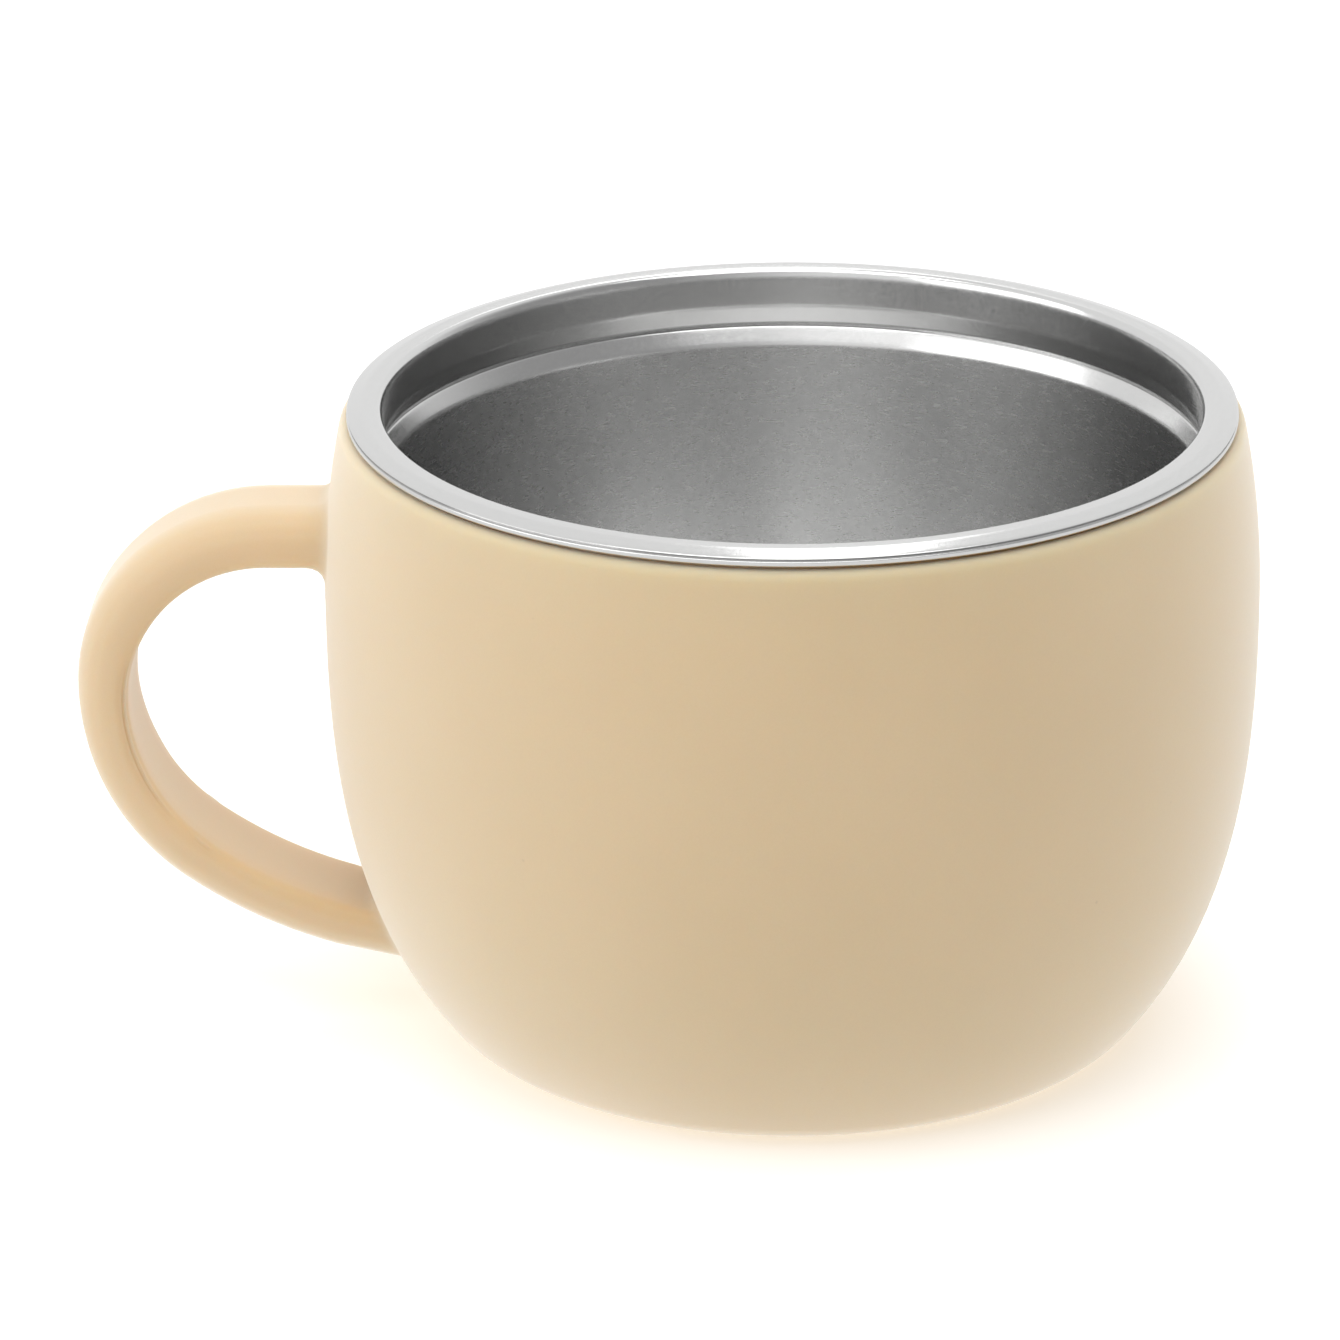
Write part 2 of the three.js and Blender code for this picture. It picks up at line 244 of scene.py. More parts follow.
def turned_rows(outline, columns, centre=(0.0, 0.0)):
    """Vertices of an outline turned about an upright axis, and the vertex numbers of each row."""
    vertices = []
    rows = []
    for radius, height in outline:
        if radius < POINT_RADIUS:
            rows.append([len(vertices)] * columns)
            vertices.append((centre[0], centre[1], height))
            continue
        row = []
        for column in range(columns):
            x, y, z = on_ring(radius, height, 2 * math.pi * column / columns)
            row.append(len(vertices))
            vertices.append((x + centre[0], y + centre[1], z))
        rows.append(row)
    return vertices, rows


def quad(corners):
    """A face without repeated corners, so that it is a triangle where a row shrinks to a point."""
    return list(dict.fromkeys(corners))


def turned_faces(rows, columns, left_out=()):
    """Faces between neighbouring rows. left_out has the (row, column) cells to leave open."""
    faces = []
    for index, (lower, upper) in enumerate(zip(rows, rows[1:])):
        for column in range(columns):
            if (index, column) in left_out:
                continue
            after = (column + 1) % columns
            faces.append(quad((lower[column], lower[after], upper[after], upper[column])))
    return faces


def turned_piece(name, outline, material, columns=TURN_COLUMNS, centre=(0.0, 0.0), ring=False):
    """A piece turned from its half outline. A ring's outline ends where it starts."""
    vertices, rows = turned_rows(outline[:-1] if ring else outline, columns, centre)
    if ring:
        rows.append(rows[0])
    return add_piece(name, vertices, turned_faces(rows, columns), material)


# Materials
class Wiring:
    """Short calls for adding the nodes of one tree. An input takes a constant or a node's socket."""

    COLOUR_INPUTS = (6, 7)
    COLOUR_OUTPUT = 2

    def __init__(self, tree):
        self.tree = tree

    def add(self, kind, inputs, **settings):
        node = self.tree.nodes.new(kind)
        for name, value in settings.items():
            setattr(node, name, value)
        self.fill(node, inputs)
        return node

    def fill(self, node, inputs):
        for name, value in inputs.items():
            if isinstance(value, bpy.types.NodeSocket):
                self.tree.links.new(value, node.inputs[name])
            else:
                node.inputs[name].default_value = value

    def math(self, operation, first, second=0.0):
        return self.add("ShaderNodeMath", {0: first, 1: second}, operation=operation).outputs[0]

    def noise(self, place, scale, detail=2.0, roughness=0.5):
        inputs = {"Vector": place, "Scale": scale, "Detail": detail, "Roughness": roughness}
        return self.add("ShaderNodeTexNoise", inputs).outputs["Fac"]

    def spread(self, value, low, high, start=0.0, end=1.0):
        """A value between start and end, moved to the range from low to high."""
        inputs = {"Value": value, "From Min": start, "From Max": end, "To Min": low, "To Max": high}
        return self.add("ShaderNodeMapRange", inputs).outputs["Result"]

    def colours(self, share, first, second):
        node = self.add("ShaderNodeMix", {"Factor": share}, data_type="RGBA")
        self.fill(node, dict(zip(self.COLOUR_INPUTS, (first, second))))
        return node.outputs[self.COLOUR_OUTPUT]

    def bump(self, height, distance, strength=1.0, under=None):
        inputs = {"Height": height, "Distance": distance, "Strength": strength}
        if under is not None:
            inputs["Normal"] = under
        return self.add("ShaderNodeBump", inputs).outputs["Normal"]

    def local_bump(self, height, size, share, under=None):
        """A bump of a size, as height and strength, that is as strong as share says at each place."""
        distance, strength = size
        return self.bump(height, distance, self.math("MULTIPLY", share, strength), under)

    def place(self):
        return self.add("ShaderNodeTexCoord", {}).outputs["Object"]

    def mirrored(self, path):
        """1 for a ray that comes by way of a mirror or through glass, from a Light Path node."""
        return self.math("MAXIMUM", path.outputs["Is Glossy Ray"], path.outputs["Is Transmission Ray"])

    def facing(self, direction, side):
        """How far a direction points to a side: 1 straight towards it, 0 across."""
        node = self.add("ShaderNodeVectorMath", {0: direction, 1: side}, operation="DOT_PRODUCT")
        return node.outputs["Value"]


# Numbers of the materials. A scale counts a pattern's cells in a metre, and a pair of scales those
# across the axis and along the outline. A bump is a height and a strength. Most values of a noise lie
# in NOISE_RANGE.
NOISE_RANGE = (0.3, 0.7)

SILICONE_GRAIN_SCALE = 5200
SILICONE_CLOUD_SCALE = 38
SILICONE_WAVE_SCALE = 160
SILICONE_ROUGHNESS = (0.55, 0.67)
SILICONE_WAVE_BUMP = (0.05 * MM, 0.25)
SILICONE_GRAIN_BUMP = (0.012 * MM, 0.5)
SILICONE_TONES = ((0.618, 0.474, 0.288, 1), (0.648, 0.501, 0.310, 1))
SILICONE_GRAIN_TONE = (0.57, 0.43, 0.25, 1)
SILICONE_GRAIN_SHARE = 0.10
SILICONE_GRAIN_RANGE = (0.35, 0.65)
DUST_TONE = (0.30, 0.22, 0.13, 1)
DUST_SHARE = 0.35
DUST_RADII = (0.012, 0.03)
DUST_SCALE = 115.0

STREAK_SCALES = (1000, 4000)
PATCH_SCALES = (420, 1100)
RING_SCALES = (30, 2600)
PIT_SCALE = 2600
STREAK_BUMP = (0.0005 * MM, 0.6)
PATCH_BUMP = (0.002 * MM, 0.3)
RING_BUMP = (0.004 * MM, 0.5)
PIT_BUMP = (0.006 * MM, 0.5)
BRUSHED_ROUGHNESS = (0.24, 0.28)
POLISHED_ROUGHNESS = (0.20, 0.27)
WALL_TONES = ((0.64, 0.64, 0.636, 1), (0.67, 0.67, 0.666, 1))
BOWL_FLOOR_TONES = ((0.51, 0.51, 0.506, 1), (0.60, 0.60, 0.596, 1))
BOWL_FLOOR_DULLNESS = 0.12
BOWL_FLOOR_START = 0.05 * MM
BOWL_FLOOR_END = 1.0 * MM
POLISH_EDGE = 0.3 * MM
RIM_GLOSS = 0.07
RIM_GLOSS_START = 0.8 * MM
RIM_GLOSS_FULL = 0.4 * MM

SHELL_LINE_SCALES = (40, 4200)
SHELL_LINE_BUMP = (0.012 * MM, 0.5)
SHELL_CLOUD_SCALE = 90
SHELL_ROUGHNESS = (0.30, 0.46)
SHELL_TONES = ((0.52, 0.52, 0.51, 1), (0.60, 0.60, 0.59, 1))

GLASS_FLOW_SCALE = 420
GLASS_FLOW_BUMP = (0.10 * MM, 0.5)
GLASS_ROUGHNESS = (0.10, 0.35)
GLASS_TONES = ((0.035, 0.042, 0.036, 1), (0.075, 0.085, 0.072, 1))
BUBBLE_SCALE = 900.0
BUBBLE_RADII = (0.12, 0.3)

GETTER_GRAIN_SCALE = 3600
GETTER_GRAIN_BUMP = (0.05 * MM, 0.7)
GETTER_ROUGHNESS = (0.6, 0.85)
GETTER_TONES = ((0.07, 0.068, 0.066, 1), (0.17, 0.165, 0.16, 1))


def new_material(name):
    material = bpy.data.materials.new(name)
    material.use_nodes = True
    return material, Wiring(material.node_tree), material.node_tree.nodes["Principled BSDF"]


def silicone():
    """Matte moulded silicone: fine grain, faint waves and clouds of tone, and a few specks of dust."""
    material, wires, shader = new_material("beige_silicone")
    place = wires.place()
    grain = wires.noise(place, SILICONE_GRAIN_SCALE, 3.0)
    clouds = wires.noise(place, SILICONE_CLOUD_SCALE, 3.0)
    waves = wires.noise(place, SILICONE_WAVE_SCALE, 2.0)
    cells = wires.add("ShaderNodeTexVoronoi", {"Vector": place, "Scale": DUST_SCALE})
    dust = wires.spread(cells.outputs["Distance"], 1.0, 0.0, *DUST_RADII)
    tone = wires.colours(wires.spread(clouds, 0.0, 1.0, *NOISE_RANGE), *SILICONE_TONES)
    grain_share = wires.spread(grain, 0.0, SILICONE_GRAIN_SHARE, *SILICONE_GRAIN_RANGE)
    fine = wires.colours(grain_share, tone, SILICONE_GRAIN_TONE)
    dusty = wires.colours(wires.math("MULTIPLY", dust, DUST_SHARE), fine, DUST_TONE)
    wavy = wires.bump(waves, *SILICONE_WAVE_BUMP)
    wires.fill(shader, {
        "Base Color": dusty,
        "Roughness": wires.spread(grain, *SILICONE_ROUGHNESS, *NOISE_RANGE),
        "Specular IOR Level": 0.5,
        "Subsurface Weight": 0.8,
        "Subsurface Radius": (1.0, 0.7, 0.45),
        "Subsurface Scale": 5.0 * MM,
        "Sheen Weight": 0.58,
        "Sheen Roughness": 0.58,
        "Normal": wires.bump(grain, *SILICONE_GRAIN_BUMP, wavy),
    })
    return material


def steel_place(wires, around_scale, run_scale):
    """Coordinates that stretch a pattern round the cup's axis: slow across, quick along the outline."""
    split = wires.add("ShaderNodeSeparateXYZ", {"Vector": wires.place()})
    x, y, z = (split.outputs[axis] for axis in "XYZ")
    square = wires.math("ADD", wires.math("MULTIPLY", x, x), wires.math("MULTIPLY", y, y))
    radius = wires.math("SQRT", square)
    run = wires.math("ADD", z, radius)
    inputs = {
        "X": wires.math("MULTIPLY", x, around_scale),
        "Y": wires.math("MULTIPLY", y, around_scale),
        "Z": wires.math("MULTIPLY", run, run_scale),
    }
    return wires.add("ShaderNodeCombineXYZ", inputs).outputs["Vector"], z


def liner_steel():
    """Drawn steel: fine brushing round the bowl, a duller floor with turned rings, and a polished neck,
    rim and lip with fine pits."""
    material, wires, shader = new_material("liner_steel")
    streak_place, height = steel_place(wires, *STREAK_SCALES)
    streaks = wires.noise(streak_place, 1.0, 1.0)
    patch_place, _ = steel_place(wires, *PATCH_SCALES)
    patches = wires.noise(patch_place, 1.0, 3.0)
    pits = wires.noise(wires.place(), PIT_SCALE, 2.0)
    polish = wires.spread(height, 0.0, 1.0, groove_foot - POLISH_EDGE, groove_foot)
    brushed = wires.math("SUBTRACT", 1.0, polish)
    satin = wires.spread(streaks, *BRUSHED_ROUGHNESS, *NOISE_RANGE)
    gloss_start = RIM_HEIGHT - RIM_GLOSS_START
    gloss_full = RIM_HEIGHT - RIM_GLOSS_FULL
    rim_share = wires.spread(height, 0.0, RIM_GLOSS, gloss_start, gloss_full)
    pitted = wires.spread(pits, *POLISHED_ROUGHNESS, *NOISE_RANGE)
    glossy = wires.math("SUBTRACT", pitted, rim_share)
    ring_place, _ = steel_place(wires, *RING_SCALES)
    rings = wires.noise(ring_place, 1.0, 2.0)
    floor_start = liner_floor + BOWL_FLOOR_START
    floor_end = liner_floor + BOWL_FLOOR_END
    floor_share = wires.spread(height, 1.0, 0.0, floor_start, floor_end)
    wall_tone = wires.colours(streaks, *WALL_TONES)
    floor_tone = wires.colours(wires.spread(rings, 0.0, 1.0, *NOISE_RANGE), *BOWL_FLOOR_TONES)
    finish = wires.math(
        "ADD", wires.math("MULTIPLY", satin, brushed), wires.math("MULTIPLY", glossy, polish)
    )
    dullness = wires.math("MULTIPLY", floor_share, BOWL_FLOOR_DULLNESS)
    roughness = wires.math("ADD", finish, dullness)
    patchy = wires.local_bump(patches, PATCH_BUMP, brushed)
    ringed = wires.local_bump(rings, RING_BUMP, floor_share, patchy)
    streaky = wires.local_bump(streaks, STREAK_BUMP, brushed, ringed)
    wires.fill(shader, {
        "Base Color": wires.colours(floor_share, wall_tone, floor_tone),
        "Metallic": 1.0,
        "Roughness": roughness,
        "Anisotropic": 0.6,
        "Anisotropic Rotation": 0.25,
        "Tangent": wires.add("ShaderNodeTangent", {}, direction_type="RADIAL", axis="Z").outputs[0],
        "Normal": wires.local_bump(pits, PIT_BUMP, polish, streaky),
    })
    return material


def shell_steel():
    """Satin drawn sheet with fine turning lines."""
    material, wires, shader = new_material("shell_steel")
    line_place, _ = steel_place(wires, *SHELL_LINE_SCALES)
    lines = wires.noise(line_place, 1.0, 3.0)
    clouds = wires.noise(wires.place(), SHELL_CLOUD_SCALE, 3.0)
    wires.fill(shader, {
        "Base Color": wires.colours(clouds, *SHELL_TONES),
        "Metallic": 1.0,
        "Roughness": wires.spread(lines, *SHELL_ROUGHNESS, *NOISE_RANGE),
        "Normal": wires.bump(lines, *SHELL_LINE_BUMP),
    })
    return material


def seal_glass():
    """Dark fused glass with a wavy face and small bubbles."""
    material, wires, shader = new_material("seal_glass")
    place = wires.place()
    flow = wires.noise(place, GLASS_FLOW_SCALE, 3.0)
    cells = wires.add("ShaderNodeTexVoronoi", {"Vector": place, "Scale": BUBBLE_SCALE})
    bubbles = wires.spread(cells.outputs["Distance"], 1.0, 0.0, *BUBBLE_RADII)
    wires.fill(shader, {
        "Base Color": wires.colours(flow, *GLASS_TONES),
        "Roughness": wires.spread(bubbles, *GLASS_ROUGHNESS),
        "Coat Weight": 0.6,
        "Coat Roughness": 0.06,
        "Normal": wires.bump(flow, *GLASS_FLOW_BUMP),
    })
    return material


def getter_alloy():
    """Pressed powder: grainy and dull."""
    material, wires, shader = new_material("getter_alloy")
    grains = wires.noise(wires.place(), GETTER_GRAIN_SCALE, 4.0, 0.7)
    wires.fill(shader, {
        "Base Color": wires.colours(grains, *GETTER_TONES),
        "Metallic": 0.5,
        "Roughness": wires.spread(grains, *GETTER_ROUGHNESS),
        "Normal": wires.bump(grains, *GETTER_GRAIN_BUMP),
    })
    return material


# The silicone sleeve: a turned body with two openings, and a strap that runs from one to the other
bar_height = SLEEVE_TOP - HANDLE_DROP
bar_start = -sleeve_radius(bar_height)
bend_start = bar_start - HANDLE_TOP_RUN
bend_height = bar_height - HANDLE_UPPER_BEND
reach = bend_start - HANDLE_UPPER_BEND
root_x = -sleeve_radius(HANDLE_ROOT_HEIGHT)
root_run = root_x - reach
root_fall = bend_height - HANDLE_ROOT_HEIGHT
root_heading = 1.5 * math.pi + HANDLE_LEG_TURN

# The two lower bends run on into each other and end at the root
bend_run = 1 - math.cos(HANDLE_LOWER_TURN)
bend_fall = math.sin(HANDLE_LOWER_TURN)
leg_run = math.cos(HANDLE_LOWER_TURN) - math.cos(HANDLE_LEG_TURN)
leg_fall = math.sin(HANDLE_LEG_TURN) - math.sin(HANDLE_LOWER_TURN)
bend_scale = bend_run * leg_fall - bend_fall * leg_run
lower_bend = (root_run * leg_fall - root_fall * leg_run) / bend_scale
leg_bend = (root_fall * bend_run - root_run * bend_fall) / bend_scale
leg_start_x = reach + lower_bend * bend_run
leg_start_z = bend_height - lower_bend * bend_fall

# Stations along the strap, and the loops and fillets at its roots, at the sides, above and below
BAR_STATIONS = 5
BAR_LEAD = 3.0 * MM
UPPER_BEND_STATIONS = 22
LOWER_BEND_STATIONS = 22
LEG_STATIONS = 10
ROOT_LENGTH = 5 * MM
FILLET_LOOPS = 6
BLEND_LOOPS = 3
UPPER_FILLETS = (1.3 * MM, 1.1 * MM, 2.2 * MM)
LOWER_FILLETS = (1.7 * MM, 1.9 * MM, 0.7 * MM)


def handle_stations():
    """Middle line of the strap from the top bar to the leg, as (x, z, heading)."""
    stations = []
    bar_first = bar_start - BAR_LEAD
    for step in range(BAR_STATIONS):
        x = bar_first + (bend_start - bar_first) * step / BAR_STATIONS
        stations.append((x, bar_height, math.pi))
    for step in range(UPPER_BEND_STATIONS):
        heading = math.pi + math.pi / 2 * step / UPPER_BEND_STATIONS
        outward = heading - math.pi / 2
        stations.append((
            bend_start + HANDLE_UPPER_BEND * math.cos(outward),
            bend_height + HANDLE_UPPER_BEND * math.sin(outward),
            heading,
        ))
    for step in range(LOWER_BEND_STATIONS):
        heading = 1.5 * math.pi + HANDLE_LOWER_TURN * step / LOWER_BEND_STATIONS
        outward = heading - math.pi / 2
        stations.append((
            reach + lower_bend + lower_bend * math.cos(outward),
            bend_height + lower_bend * math.sin(outward),
            heading,
        ))
    leg_turn = HANDLE_LEG_TURN - HANDLE_LOWER_TURN - ROOT_LENGTH / leg_bend
    for step in range(LEG_STATIONS + 1):
        turn = HANDLE_LOWER_TURN + leg_turn * step / LEG_STATIONS
        stations.append((
            leg_start_x + leg_bend * (math.cos(HANDLE_LOWER_TURN) - math.cos(turn)),
            leg_start_z - leg_bend * (math.sin(turn) - math.sin(HANDLE_LOWER_TURN)),
            1.5 * math.pi + turn,
        ))
    return stations


def smooth_share(value, start, end):
    """0 before start, 1 after end, and a smooth rise between them."""
    share = min(1.0, max(0.0, (value - start) / (end - start)))
    return share * share * (3 - 2 * share)


def strap_section(thickness, flash):
    """Points round the strap as (across, out, normal across, normal out), from the middle of its inner
    face. The mould's fine flash stands up on the rounded edges of that face."""
    half = thickness / 2
    side = HANDLE_WIDTH / 2
    inner_flat = side - HANDLE_INNER_EDGE
    outer_flat = side - HANDLE_OUTER_EDGE
    points = [(inner_flat * step / 3, -half, 0.0, -1.0) for step in range(3)]
    for lean in (90, 68, *FLASH_LEANS, 32, 0):
        radius = HANDLE_INNER_EDGE + flash * FLASH_SHARES.get(lean, 0.0)
        points.append(edge_point(inner_flat, HANDLE_INNER_EDGE - half, radius, math.radians(-lean)))
    points.append((side, (HANDLE_INNER_EDGE - HANDLE_OUTER_EDGE) / 2, 1.0, 0.0))
    for step in range(5):
        lean = math.radians(90) * step / 4
        points.append(edge_point(outer_flat, half - HANDLE_OUTER_EDGE, HANDLE_OUTER_EDGE, lean))
    for step in range(1, 6):
        points.append((outer_flat * (1 - step / 5), half, 0.0, 1.0))
    near = [(-across, out, -side_lean, face_lean) for across, out, side_lean, face_lean in points]
    return near + points[-2:0:-1]


def edge_point(across, out, radius, lean):
    """A point on a rounded edge of the strap about a centre, at an angle from the strap's side."""
    side_lean = math.cos(lean)
    face_lean = math.sin(lean)
    return (across + radius * side_lean, out + radius * face_lean, side_lean, face_lean)


def strap_point(x, z, heading, across, out):
    """A point of the strap's section, placed at a station of its middle line."""
    outward = heading - math.pi / 2
    return (x + out * math.cos(outward), across, z + out * math.sin(outward))


def meet_body(x, z, heading, inward, across, out):
    """Where a line along the strap meets the sleeve's outside."""
    start = strap_point(x, z, heading, across, out)
    step_x = inward * math.cos(heading)
    step_z = inward * math.sin(heading)
    outside, inside = -SEARCH_REACH, SEARCH_REACH
    for _ in range(SEARCH_STEPS):
        middle = (outside + inside) / 2
        height = max(start[2] + middle * step_z, 0.0)
        if math.hypot(start[0] + middle * step_x, start[1]) > sleeve_radius(height):
            outside = middle
        else:
            inside = middle
    return (start[0] + outside * step_x, start[1], start[2] + outside * step_z)


def root_loops(station, inward, thickness, fillets, hole):
    """Loops that blend the strap into the body, from the strap's end to the opening in the body.
    inward is 1 where the strap's heading runs into the body and -1 where it comes out of it.
    fillets has the sizes at the strap's sides, on the body above it and on the body below it."""
    x, z, heading = station
    side_fillet, upper_fillet, lower_fillet = fillets
    loops = [[] for _ in range(FILLET_LOOPS + BLEND_LOOPS)]
    section = strap_section(thickness, 0.0)
    for (across, out, side_lean, face_lean), (hole_angle, hole_height) in zip(section, hole):
        meet = meet_body(x, z, heading, inward, across, out)
        upward = -inward * face_lean
        face_fillet = upper_fillet if upward > 0 else lower_fillet
        fillet = face_fillet * upward ** 2 + side_fillet * side_lean ** 2
        start = (
            meet[0] - fillet * inward * math.cos(heading),
            meet[1],
            meet[2] - fillet * inward * math.sin(heading),
        )
        wall_radius = sleeve_radius(meet[2])
        wall_lean = (sleeve_radius(meet[2] + MM) - wall_radius) / MM
        angle = math.atan2(meet[1], meet[0]) % (2 * math.pi) - fillet * side_lean / wall_radius
        height = meet[2] + fillet * upward / math.hypot(1, wall_lean)
        end = on_ring(sleeve_radius(height), height, angle)
        curve = [start] + rounding(start, meet, end, FILLET_LOOPS - 1)
        for step in range(1, BLEND_LOOPS + 1):
            share = step / (BLEND_LOOPS + 1)
            blend_height = height + (hole_height - height) * share
            blend_angle = angle + (hole_angle - angle) * share
            curve.append(on_ring(sleeve_radius(blend_height), blend_height, blend_angle))
        for loop, point in zip(loops, curve):
            loop.append(point)
    return loops


def hole_loop(first_row, rows, half_columns, from_top):
    """Cells round an opening, as (row, column), from the middle of its lower or upper edge and then
    towards the higher columns."""
    middle = TURN_COLUMNS // 2
    near, far = (first_row + rows, first_row) if from_top else (first_row, first_row + rows)
    step = 1 if far > near else -1
    loop = [(near, middle + column) for column in range(half_columns)]
    loop += [(row, middle + half_columns) for row in range(near, far, step)]
    loop += [(far, middle + column) for column in range(half_columns, -half_columns, -1)]
    loop += [(row, middle - half_columns) for row in range(far, near, -step)]
    loop += [(near, middle + column) for column in range(-half_columns, 0)]
    return loop


# Openings for the strap's roots: their heights, their rows, and their columns to each side
LOWER_HOLE = (FOOT_ROUND, 15.4 * MM)
LOWER_HOLE_ROWS = 6
LOWER_HOLE_HALF = 7
UPPER_HOLE = (43.4 * MM, 55.1 * MM)
UPPER_HOLE_ROWS = 8
UPPER_HOLE_HALF = 6


def sleeve_outline():
    """Half outline of the sleeve's body, and the rows where the two openings for the strap start."""
    shoulder = SLEEVE_TOP - SLEEVE_TOP_ROUND
    foot_start = (base_radius - FOOT_ROUND, 0.0)
    foot_end = (sleeve_radius(FOOT_ROUND), FOOT_ROUND)
    outline = [(0.0, 0.0)]
    outline += line((0.0, 0.0), foot_start, 6)
    outline += rounding(foot_start, (base_radius, 0.0), foot_end, 7)
    lower_row = len(outline) - 1
    stretches = (
        (*LOWER_HOLE, LOWER_HOLE_ROWS),
        (LOWER_HOLE[1], UPPER_HOLE[0], BELLY_ROWS),
        (*UPPER_HOLE, UPPER_HOLE_ROWS),
        (UPPER_HOLE[1], shoulder, SHOULDER_ROWS),
    )
    for low, high, steps in stretches:
        if low == UPPER_HOLE[0]:
            upper_row = len(outline) - 1
        for step in range(1, steps + 1):
            height = low + (high - low) * step / steps
            outline.append((sleeve_radius(height), height))
    edge_end = (sleeve_top_radius - SLEEVE_TOP_ROUND, SLEEVE_TOP)
    outline += rounding(outline[-1], (sleeve_top_radius, SLEEVE_TOP), edge_end, 7)
    mouth_start = (mouth_radius + SLEEVE_MOUTH_ROUND, SLEEVE_TOP)
    mouth_end = (mouth_radius, SLEEVE_TOP - SLEEVE_MOUTH_ROUND)
    outline.append(mouth_start)
    outline += rounding(mouth_start, (mouth_radius, SLEEVE_TOP), mouth_end, 4)
    corner = (shell_corner_radius, shell_corner_top)
    corner_width = SHELL_CORNER_WIDTH + SLEEVE_CLEARANCE
    corner_height = SHELL_CORNER_HEIGHT + SLEEVE_CLEARANCE
    outline += line(mouth_end, (corner[0] + corner_width, corner[1]), 9)
    outline += ellipse(corner, corner_width, corner_height, 0, -90, 16)
    outline += line((corner[0], SLEEVE_FLOOR), (0.0, SLEEVE_FLOOR), 5)
    return outline, lower_row, upper_row


def silicone_sleeve(material):
    """The sleeve's body and strap as one mesh: the strap's loops join the edges of two openings."""
    outline, lower_row, upper_row = sleeve_outline()
    vertices, rows = turned_rows(outline, TURN_COLUMNS)
    middle = TURN_COLUMNS // 2
    openings = (
        (lower_row, LOWER_HOLE_ROWS, LOWER_HOLE_HALF),
        (upper_row, UPPER_HOLE_ROWS, UPPER_HOLE_HALF),
    )
    left_out = {
        (row, column)
        for first, count, half in openings
        for row in range(first, first + count)
        for column in range(middle - half, middle + half)
    }
    faces = turned_faces(rows, TURN_COLUMNS, left_out)
    upper_cells = hole_loop(upper_row, UPPER_HOLE_ROWS, UPPER_HOLE_HALF, from_top=False)
    lower_cells = hole_loop(lower_row, LOWER_HOLE_ROWS, LOWER_HOLE_HALF, from_top=True)

    def places(cells):
        return [(2 * math.pi * column / TURN_COLUMNS, outline[row][1]) for row, column in cells]

    bar_thickness = HANDLE_THICKNESS + HANDLE_TAPER
    upper_station = (bar_start, bar_height, math.pi)
    lower_station = (root_x, HANDLE_ROOT_HEIGHT, root_heading)
    upper_loops = root_loops(upper_station, -1, bar_thickness, UPPER_FILLETS, places(upper_cells))
    lower_loops = root_loops(lower_station, 1, HANDLE_THICKNESS, LOWER_FILLETS, places(lower_cells))
    strap_loops = []
    stations = handle_stations()
    for number, station in enumerate(stations):
        share = number / (len(stations) - 1)
        thickness = bar_thickness - HANDLE_TAPER * smooth_share(share, *TAPER_STRETCH)
        flash = smooth_share(share, *FLASH_START) * (1 - smooth_share(share, *FLASH_END))
        blob = smooth_share(share, *BLOB_START) * (1 - smooth_share(share, *BLOB_END))
        section = strap_section(thickness, FLASH_HEIGHT * (flash + blob))
        strap_loops.append([strap_point(*station, across, out) for across, out, *_ in section])

    loops = [[rows[row][column] for row, column in upper_cells]]
    for loop in upper_loops[::-1] + strap_loops + lower_loops:
        loops.append(list(range(len(vertices), len(vertices) + STRAP_POINTS)))
        vertices.extend(loop)
    loops.append([rows[row][column] for row, column in lower_cells])
    faces += turned_faces(loops, STRAP_POINTS)
    return add_piece("sleeve", vertices, faces, material)


# The steel cup
def inner_liner(material):
    corner_top = liner_floor + LINER_CORNER_HEIGHT
    corner_radius = neck_radius - LINER_DRAFT - LINER_CORNER_WIDTH
    corner = (corner_radius, corner_top)
    wall_foot = (corner_radius + LINER_CORNER_WIDTH, corner_top)
    lip_bottom = flange_top(lip_inner_radius) - SHEET - LIP_HANG
    neck_outside = neck_radius + SHEET
    under_land = RIM_HEIGHT - SHEET
    outline = [(0.0, liner_low.z)]
    outline += line(outline[-1], (corner_radius, liner_low.z), 4)
    outline += ellipse(corner, LINER_CORNER_WIDTH + SHEET, LINER_CORNER_HEIGHT + SHEET, -90, 0, 16)
    outline += line(outline[-1], (neck_outside, groove_foot), 6)
    outline += line(outline[-1], (groove_radius + SHEET, groove_height), 2)
    outline += line(outline[-1], (neck_outside, groove_top), 2)
    outline.append((neck_outside, under_land - SHEET))
    outline += rounding(outline[-1], (neck_outside, under_land), (neck_outside + SHEET, under_land), 4)
    outline.append((land_radius, under_land))
    outline.append((lip_inner_radius, lip_bottom + LIP_HANG))
    outline.append((lip_inner_radius, lip_bottom + LIP_EDGE))
    outline += rounding(
        outline[-1], (lip_inner_radius, lip_bottom), (lip_inner_radius + LIP_EDGE, lip_bottom), 3
    )
    outline.append((LIP_RADIUS - LIP_EDGE, lip_bottom))
    outline += rounding(outline[-1], (LIP_RADIUS, lip_bottom), (LIP_RADIUS, lip_bottom + LIP_EDGE), 4)
    outline += lip_outline()
    outline += line(outline[-1], (land_radius, RIM_HEIGHT), 3)
    outline += crown_outline(outline[-1])
    outline += groove_outline(outline[-1], wall_foot)
    outline += line(outline[-1], wall_foot, 10)
    outline += ellipse(corner, LINER_CORNER_WIDTH, LINER_CORNER_HEIGHT, 0, -90, 24)
    outline += line(outline[-1], (0.0, liner_floor), 6)
    return turned_piece("liner", outline, material)


